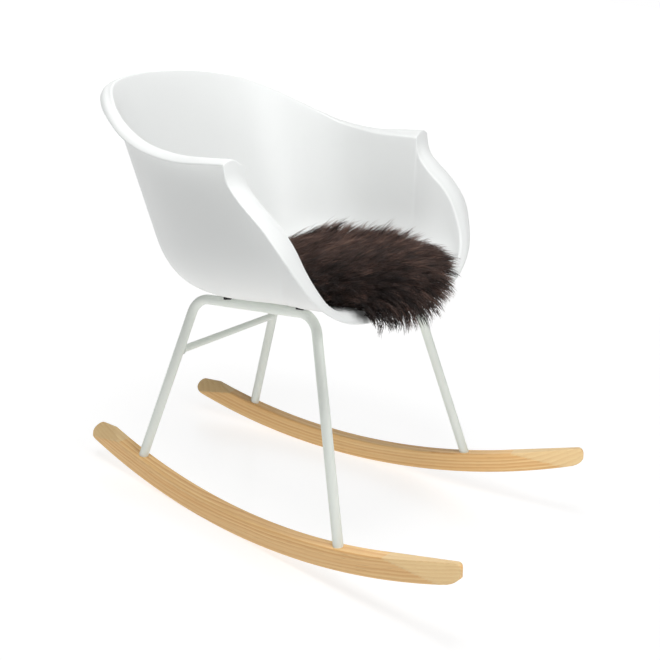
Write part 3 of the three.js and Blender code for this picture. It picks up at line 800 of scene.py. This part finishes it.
# ---- hardware ----
def finish_hardware(paint, zinc, brass, rubber):
    """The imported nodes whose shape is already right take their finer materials."""
    finishes = {"leg_plug": zinc, "leg_bolt": zinc, "seat_screw": zinc, "seat_washer": zinc,
                "boss_insert": brass, "spacer_pad": rubber, "front_cross_strap": paint,
                "rear_cross_strap": paint}
    for name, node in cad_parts.items():
        for start, material in finishes.items():
            if name.startswith(start):
                for slot in node.material_slots:
                    slot.material = material


# ---- sheepskin ----
# The pelt's outline on the seat, in plan: a rounded square with slow waves along its edge.
PELT_CENTRE = (0, 52)
PELT_HALF = (188, 158)  # half its width and half its length
PELT_TURN = math.radians(5)
PELT_SQUARENESS = 4.4  # 2 is an ellipse, and more is squarer
HIDE_SHARE = 0.94  # the tanned hide ends a little inside the pile
HIDE_CLEARANCE = 1.0
HIDE_THICKNESS = 9.0
HIDE_COLUMNS = 96
HIDE_RINGS = 22

# The pile stands on the hide in locks. Each lock is a line that strands gather round.
LOCKS = 3200
LOCK_STEPS = 11
GOLDEN_ANGLE = math.pi * (3 - math.sqrt(5))
STEEPEST_ROOT = 0.84  # behind the lip no lock grows where the shell is steeper than this cosine
LIP_BEGINS = 20  # y where the seat starts to curve down to its front lip
PILE_LENGTH = (60, 80)
PILE_HEADING = math.radians(-62)  # the way the pile leans over the pelt's middle, from +X
PILE_FAN = math.radians(0.12)  # added to the heading for every mm towards the far back corner
PILE_DISORDER = 0.16  # radians, spread of the headings
PILE_LEAN = (36, 5)  # degrees off square to the hide, and their spread
EDGE_LEAN = 18  # degrees more at the front edge
BACK_STAND = 14  # degrees less at the back
FAR_LEAN = 8  # degrees more towards the far back corner
EDGE_SHORTER = 0.3  # share of its length that a lock loses at the front edge
NEAR_SHORTER = 0.12  # and towards the near front corner
CORNER_REACH = 150  # mm from the pelt's middle to where the corners' share is full
LOCK_BEND = (0.3, 0.6)  # how far a lock turns over along the hide towards its tip
LOCK_SAG = 0.06  # how fast it turns down, and what is added at the edge and the lip
EDGE_SAG = 0.1
LIP_SAG = 0.04
LOCK_CURL = 0.1
LOCK_CLEARANCE = 2.5

STRANDS_PER_LOCK = 13
STRAND_STEPS = 6
STRAND_RADIUS = (0.4, 0.68)
STRAND_REACH = (0.7, 1.0)  # share of its lock's length
STRAND_CLEARANCE = 1.2
LOCK_RADIUS = 7.0  # of a lock's foot
LOCK_GATHER = 0.72  # share of that radius that is gone at its tip
STRAND_WAVE = 1.3
STRAND_STRAY = 2.2
PILE_PIECES = 8  # the wool is split into this many objects
# The wool's shades, from the dark undercoat to the paler tips.
PILE_SHADES = ((26, 19, 17), (39, 28, 25), (55, 41, 36), (76, 57, 50), (101, 77, 67), (130, 101, 89))
LOCK_SHADE_SPREAD = 1.3
STRAND_SHADE_SPREAD = 0.5
ROOT_SHADE = 1.2
TIP_LIGHTER = 1.8  # shades
DOWN = unit(np.array([0, math.sin(REST_TILT), -math.cos(REST_TILT)]))  # gravity, design frame


def pelt_outline(angles):
    """The outline's reach by angle, as a share of the pelt's half sizes."""
    c, s = np.cos(angles), np.sin(angles)
    reach = (np.abs(c) ** PELT_SQUARENESS + np.abs(s) ** PELT_SQUARENESS) ** (-1 / PELT_SQUARENESS)
    return reach * (1 + 0.03 * np.sin(3 * angles + 0.6) + 0.02 * np.sin(5 * angles + 2))


def pelt_points(angles, shares):
    """Points of the hide's plan, from 0 at its middle to 1 at its edge."""
    reach = pelt_outline(angles) * shares
    x, y = PELT_HALF[0] * reach * np.cos(angles), PELT_HALF[1] * reach * np.sin(angles)
    c, s = math.cos(PELT_TURN), math.sin(PELT_TURN)
    return PELT_CENTRE[0] + c * x - s * y, PELT_CENTRE[1] + s * x + c * y


def shell_tree(upper):
    """The sitter's side of the shell, open at its rim, for laying the pelt on it."""
    points, faces = skin(upper)
    rim_fan = upper.shape[1]
    return BVHTree.FromPolygons(points, [face[::-1] for face in faces[:-rim_fan]])


ABOVE_SEAT = 480  # z, above all that the pelt lies on
LIP_EDGE_HEIGHT = 352


def rest_on(tree, x, y, lift):
    """Points lifted square off the shell over the plan points x, y, and the shell's normals there.

    A point in front of the lip takes the nearest place on the shell's edge.
    """
    points, normals = [], []
    for px, py in zip(x, y):
        hit, normal, _, _ = tree.ray_cast(Vector((px, py, ABOVE_SEAT)), Vector((0, 0, -1)))
        if hit is None:
            hit, normal, _, _ = tree.find_nearest(Vector((px, py, LIP_EDGE_HEIGHT)))
        if normal.z < 0:
            normal = -normal
        points.append(np.array(hit) + np.array(normal) * lift)
        normals.append(np.array(normal))
    return np.array(points), np.array(normals)


def hide(tree):
    """The tanned skin under the pile: it follows the seat and rolls over the lip."""
    angles = np.linspace(0, 2 * math.pi, HIDE_COLUMNS + 1)[:-1]
    shares = np.linspace(0.04, 1, HIDE_RINGS)
    rings = []
    for thickness, order in ((HIDE_THICKNESS, shares), (0, shares[::-1])):
        for share in order:
            x, y = pelt_points(angles, share * HIDE_SHARE)
            edge_thinning = 1 - 0.5 * share_of_way(share, 0.9, 1) ** 2
            rings.append(rest_on(tree, x, y, HIDE_CLEARANCE + thickness * edge_thinning)[0])
    piece = make_object("sheepskin_hide", [skin(np.array(rings))])
    return finish_piece(piece, tanned_hide(), "sheepskin_pad")


FAR_CORNER_WAY = (0.86, 0.51)


def towards_back(x, y):
    """How far a plan point lies from the pelt's middle towards its far back corner, in mm."""
    return (x - PELT_CENTRE[0]) * FAR_CORNER_WAY[0] + (y - PELT_CENTRE[1]) * FAR_CORNER_WAY[1]


def pile_flow(x, y, rng):
    """Which way the pile leans at a plan point: a fan that opens towards the front, in slow swirls."""
    heading = PILE_HEADING + PILE_FAN * towards_back(x, y)
    heading += 0.35 * np.sin(x / 47 + 1.3) * np.cos(y / 39) + 0.2 * np.sin((x + y) / 26)
    return heading + rng.normal(0, PILE_DISORDER, len(x))


def lock_roots(tree, rng):
    """Where the locks stand: evenly over the pelt, but not up the walls."""
    number = np.arange(LOCKS)
    angles = number * GOLDEN_ANGLE + rng.normal(0, 0.01, LOCKS)
    shares = np.sqrt((number + rng.uniform(0, 1, LOCKS)) / LOCKS)
    x, y = pelt_points(angles, shares)
    roots, normals = rest_on(tree, x, y, HIDE_CLEARANCE + HIDE_THICKNESS * 0.8)
    kept = (normals[:, 2] > STEEPEST_ROOT) | (y < LIP_BEGINS)
    return x[kept], y[kept], shares[kept], roots[kept], normals[kept]


def lock_flow(x, y, shares, rng):
    """The way each lock leans in plan: with the flow, and outward near the front edge.

    Also how much each lock belongs to that edge.
    """
    heading = pile_flow(x, y, rng)
    flow = np.stack([np.cos(heading), np.sin(heading)], 1)
    radial = unit(np.stack([x - PELT_CENTRE[0], y - PELT_CENTRE[1]], 1))
    at_front = np.clip(0.25 - radial[:, 1:], 0, 1)
    outward = share_of_way(shares, 0.5, 1)[:, None] ** 1.3 * at_front
    agrees = np.clip(0.55 + 0.55 * (flow * radial).sum(1, keepdims=True), 0.1, 1)
    return unit(flow * (1 - 0.8 * outward * agrees) + radial * outward * agrees), outward


def lock_lean(x, y, outward, rng):
    """Radians off square to the hide."""
    lean = rng.normal(*PILE_LEAN, len(x)) + EDGE_LEAN * outward - BACK_STAND * share_of_way(y, 60, 160)
    return np.radians(lean + FAR_LEAN * share_of_way(towards_back(x, y), 0, CORNER_REACH))


def lock_lines(tree, rng):
    """The middle line of every lock: it grows off the hide, leans over, and lies on what is under it."""
    x, y, shares, roots, normals = lock_roots(tree, rng)
    count = len(x)
    flow, outward = lock_flow(x, y, shares, rng)
    lean = lock_lean(x, y, outward[:, 0], rng)[:, None]
    side = np.concatenate([flow, np.zeros((count, 1))], 1)
    side = unit(side - normals * (side * normals).sum(1, keepdims=True))
    direction = unit(normals * np.cos(lean) + side * np.sin(lean))
    near = share_of_way(towards_back(x, y), 0, -CORNER_REACH)[:, None]
    shorter = 1 - EDGE_SHORTER * outward - NEAR_SHORTER * near
    step = rng.uniform(*PILE_LENGTH, count)[:, None] * shorter / LOCK_STEPS
    over_lip = (share_of_way(y, -30, -80) * share_of_way(x, -170, -110))[:, None] * outward
    bend_over = rng.uniform(*LOCK_BEND, (count, 1))
    wave = rng.normal(0, 1, (count, 3))
    points = roots.copy()
    lines = [points.copy()]
    for k in range(LOCK_STEPS):
        share = k / LOCK_STEPS
        sag = LOCK_SAG * share + EDGE_SAG * outward * share + LIP_SAG * over_lip * (1 - near)
        curl = LOCK_CURL * np.sin(share * 8 + wave[:, :1] * 3) * unit(np.cross(direction, wave))
        direction = unit(direction + side * bend_over * share**1.5 + DOWN * sag + curl)
        points = points + direction * step
        points, direction = kept_clear(tree, points, direction, LOCK_CLEARANCE)
        lines.append(points.copy())
    return np.stack(lines, 1)


SEARCH_REACH = 60.0  # a point farther than this from the shell is clear of it


def kept_clear(tree, points, direction, clearance):
    """Moves points that come too near the shell out to the clearance, and turns their way along it."""
    points, direction = points.copy(), direction.copy()
    for i, p in enumerate(points):
        near, normal, _, distance = tree.find_nearest(Vector(p), SEARCH_REACH)
        if near is None:
            continue
        away = np.array(normal)
        height = (p - np.array(near)) @ away
        beyond_edge = distance > 1.3 * abs(height) + 0.5
        if beyond_edge or height >= clearance:
            continue
        points[i] = p + away * (clearance - height)
        direction[i] = unit(direction[i] - away * min(direction[i] @ away, 0))
    return points, direction


def strand_middles(lines, strands):
    """Each lock's line at the strands' own steps, once for each of its strands."""
    at = np.linspace(0, LOCK_STEPS, STRAND_STEPS + 1)
    whole = np.minimum(at.astype(int), LOCK_STEPS - 1)
    part = (at - whole)[None, :, None]
    middle = lines[:, whole] * (1 - part) + lines[:, whole + 1] * part
    return np.repeat(middle, strands, 0)


def strand_paths(tree, middle, first, second, rng):
    """Strands stand all over their lock's foot, gather towards its tip, and wave on their own."""
    count = len(middle)
    share = np.linspace(0, 1, STRAND_STEPS + 1)[None, :]
    angle = rng.uniform(0, 2 * math.pi, count)
    radius = LOCK_RADIUS * np.sqrt(rng.uniform(0, 1, count))
    gather = 1 - LOCK_GATHER * share**1.2
    phase = rng.uniform(0, 2 * math.pi, (count, 2, 1))
    wave = STRAND_WAVE * np.sin(share * 8 + phase) * share
    wave = wave + rng.normal(0, 1, (count, 2, 1)) * share * STRAND_STRAY
    offset_a = radius[:, None] * np.cos(angle)[:, None] * gather + wave[:, 0]
    offset_b = radius[:, None] * np.sin(angle)[:, None] * gather + wave[:, 1]
    paths = middle + first * offset_a[..., None] + second * offset_b[..., None]
    reach = rng.uniform(*STRAND_REACH, count)[:, None, None]
    paths = paths[:, :1] + (paths - paths[:, :1]) * reach
    above = paths[:, 1:].reshape(-1, 3)
    above, _ = kept_clear(tree, above, np.zeros_like(above), STRAND_CLEARANCE)
    paths[:, 1:] = above.reshape(count, STRAND_STEPS, 3)
    return paths


def strand_rings(paths, first, second, rng):
    """Three corners round each strand at every step but the last, thinning towards its tip."""
    count = len(paths)
    share = np.linspace(0, 1, STRAND_STEPS + 1)[None, :]
    radius = rng.uniform(*STRAND_RADIUS, count)[:, None] * (1 - 0.9 * share**1.8)
    twist = rng.uniform(0, 2 * math.pi, count)
    corners = []
    for k in range(3):
        turn = (twist + k * 2 * math.pi / 3)[:, None, None]
        spoke = first * np.cos(turn) + second * np.sin(turn)
        corners.append(paths + spoke * radius[..., None])
    return np.stack(corners, 2)[:, :-1]


def strand_shades(feet, locks, strands, rng):
    """How many shades each strand is off the usual: by lock, by strand, and by place, as painted light that
    is paler towards the back and painted shade that is darker towards the near front corner.
    """
    shade = rng.normal(0, LOCK_SHADE_SPREAD, locks).repeat(strands)
    shade += rng.normal(0, STRAND_SHADE_SPREAD, len(feet))
    # Painted light and shade: paler towards the far back, darker towards the near front corner.
    return shade + np.clip(towards_back(feet[:, 0], feet[:, 1]) / 100, -1.5, 0.8)


def sheepskin_pile(tree):
    """Every strand of the wool, in a few pieces from the sitter's right to their left."""
    rng = np.random.default_rng(7)
    lines = lock_lines(tree, rng)
    strands = STRANDS_PER_LOCK
    middle = strand_middles(lines, strands)
    tangent = unit(np.gradient(middle, axis=1))
    first = unit(np.cross(tangent, np.array([0.31, 0.62, 0.21])))
    second = np.cross(tangent, first)
    paths = strand_paths(tree, middle, first, second, rng)
    rings = strand_rings(paths, first, second, rng)
    tips = paths[:, -1]
    shade = strand_shades(middle[:, 0], len(lines), strands, rng)
    order = np.argsort(middle[:, 0, 0], kind="stable")
    materials = pile_materials()
    for number, chosen in enumerate(np.array_split(order, PILE_PIECES), 1):
        name = f"sheepskin_pile_{number}"
        pile_piece(name, rings[chosen], tips[chosen], shade[chosen], materials)


def spindle_faces(steps):
    """The triangles of one closed three-sided spindle, and each triangle's share of the way to its tip."""
    faces = []
    for j in range(steps - 1):
        for k in range(3):
            a, b = 3 * j + k, 3 * j + (k + 1) % 3
            faces += [(a, b, b + 3), (a, b + 3, a + 3)]
    last = 3 * (steps - 1)
    faces += [(last + k, last + (k + 1) % 3, last + 3) for k in range(3)]
    level = [min(face) // 3 / (steps - 1) for face in faces]
    faces.append((2, 1, 0))
    return np.array(faces), np.array([*level, 0])


def pile_piece(name, rings, tips, shade, materials):
    """One object of many spindles, whose faces take their shade by lock, strand and height, and the painted
    light and shade by place.
    """
    count, steps = rings.shape[:2]
    points = np.concatenate([rings.reshape(count, -1, 3), tips[:, None]], 1)
    per = points.shape[1]
    faces, level = spindle_faces(steps)
    triangles = (faces[None] + np.arange(count)[:, None, None] * per).reshape(-1, 3)
    mesh = bpy.data.meshes.new(name)
    mesh.vertices.add(count * per)
    mesh.vertices.foreach_set("co", placed(points.reshape(-1, 3)).astype(np.float32).ravel())
    mesh.loops.add(len(triangles) * 3)
    mesh.loops.foreach_set("vertex_index", triangles.astype(np.int32).ravel())
    mesh.polygons.add(len(triangles))
    mesh.polygons.foreach_set("loop_start", np.arange(len(triangles), dtype=np.int32) * 3)
    tone = np.round(ROOT_SHADE + shade[:, None] + TIP_LIGHTER * level[None])
    tone = np.clip(tone, 0, len(materials) - 1)
    mesh.polygons.foreach_set("material_index", tone.astype(np.int32).ravel())
    mesh.update(calc_edges=True)
    mesh.shade_smooth()
    for material in materials:
        mesh.materials.append(material)
    obj = linked(name, mesh)
    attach(obj, "root")


def pile_materials():
    """One plain material for each shade of the wool."""
    made = []
    for number, shade in enumerate(PILE_SHADES):
        n = Nodes(f"wool_shade_{number}")
        n.set(Base_Color=colour(*shade), Roughness=0.42, Specular_IOR_Level=0.4)
        n.set(Sheen_Weight=0.12, Sheen_Roughness=0.35, Sheen_Tint=colour(150, 125, 112))
        made.append(n.material)
    return made


# ---- stage, light and camera ----
CAMERA_PLACE = (-1.4988, -0.8592, 0.7533)  # metres in the design frame
CAMERA_HEADING = math.radians(-59.14)  # of the view, from +Y about +Z
CAMERA_FALL = math.radians(14.71)  # below level, in the design frame
CAMERA_LENS = 60.37
FLOOR_HALF_SIZE = 60
FLOOR_GAP = 0.0005  # under the rockers
FLOOR_GREY = 0.3
FLOOR_GLOW = 0.74  # lifts the floor to the white of the backdrop, and leaves soft shadows
LAMP_SIZE = 1.2
LAMP_AIM = (0, 0, 0.3)
LAMPS = (("overhead", (-0.6, 0.1, 2.4), 35), ("front", (-0.6, -2.3, 2.0), 28))  # name, place, watts


def add_camera():
    data = bpy.data.cameras.new("camera")
    data.lens = CAMERA_LENS
    data.sensor_width = 36
    data.clip_end = 100
    camera = linked("camera", data)
    aim = Matrix.Rotation(CAMERA_HEADING, 4, "Z") @ Matrix.Rotation(math.pi / 2 - CAMERA_FALL, 4, "X")
    lean = Matrix.Rotation(-REST_TILT, 4, "X")
    place = Vector(placed(np.array([CAMERA_PLACE]) / MM)[0])
    camera.matrix_world = Matrix.Translation(place) @ lean @ aim
    bpy.context.scene.camera = camera


def add_floor():
    """A white floor just under the rockers."""
    floor = bpy.data.meshes.new("floor")
    work = bmesh.new()
    bmesh.ops.create_grid(work, x_segments=1, y_segments=1, size=FLOOR_HALF_SIZE)
    work.to_mesh(floor)
    work.free()
    obj = linked("floor", floor)
    obj.location.z = -FLOOR_GAP
    n = Nodes("floor_white")
    n.set(Base_Color=(FLOOR_GREY, FLOOR_GREY, FLOOR_GREY, 1), Roughness=0.3, Specular_IOR_Level=0.5)
    n.set(Emission_Color=(1, 1, 1, 1), Emission_Strength=FLOOR_GLOW)
    floor.materials.append(n.material)


def add_lamp(name, place, power):
    data = bpy.data.lights.new(name, "AREA")
    data.shape = "DISK"
    data.size = LAMP_SIZE
    data.energy = power
    lamp = linked(name, data)
    lamp.location = place
    lamp.rotation_euler = (Vector(LAMP_AIM) - Vector(place)).to_track_quat("-Z", "Y").to_euler()


# The studio by direction: white behind the chair, dim elsewhere, a little brighter overhead, and a thin
# white band all round where the floor meets it.
BACKDROP = (0.86, 0.51, 0.0)  # the way from the viewer to the chair
BACKDROP_REACH = (0.7, 0.93)  # cosines from that way where the white starts and is full
OVERHEAD_REACH = (0.55, 0.9)  # sines of the height where the overhead white starts and is full
DIM_SIDE = 0.08
BACKDROP_LEVEL = 1.0
OVERHEAD_LEVEL = 0.15
HORIZON_BAND = (0.06, 0.084)  # sines of the height where the white band fades and is gone


def add_world():
    world = bpy.data.worlds.new("studio")
    world.use_nodes = True
    n = NodeTree(world.node_tree)
    direction = n.add("ShaderNodeTexCoord").outputs["Generated"]
    height = n.add("ShaderNodeSeparateXYZ", {0: direction}).outputs["Z"]
    towards = n.add("ShaderNodeVectorMath", {0: direction, 1: BACKDROP}, operation="DOT_PRODUCT")
    smooth = {"interpolation_type": "SMOOTHSTEP"}
    backdrop = n.ranged(towards.outputs["Value"], DIM_SIDE, BACKDROP_LEVEL, *BACKDROP_REACH, **smooth)
    overhead = n.ranged(height, 0, OVERHEAD_LEVEL, *OVERHEAD_REACH, **smooth)
    band = n.ranged(height, 1, 0, *HORIZON_BAND, **smooth)
    level = n.maths("MAXIMUM", n.maths("MAXIMUM", backdrop, overhead), band)
    background = n.tree.nodes["Background"]
    n.feed(background.inputs["Strength"], level)
    n.feed(background.inputs["Color"], (1, 1, 1, 1))
    bpy.context.scene.world = world


def add_light():
    add_world()
    for name, place, power in LAMPS:
        add_lamp(name, place, power)
    bpy.context.scene.view_settings.view_transform = "Standard"


# ---- assembly ----
def build():
    upper = shell_upper_face()
    seat_shell(upper)
    paint = powder_coat()
    wood = ash_wood()
    for side, name in ((-1, "right"), (1, "left")):
        side_frame(side, name, paint)
        rocker(side, name, wood)
    crossbar(paint)
    finish_hardware(paint, plated_steel(), turned_brass(), black_rubber())
    tree = shell_tree(upper)
    hide(tree)
    sheepskin_pile(tree)


add_camera()
build()
add_floor()
add_light()
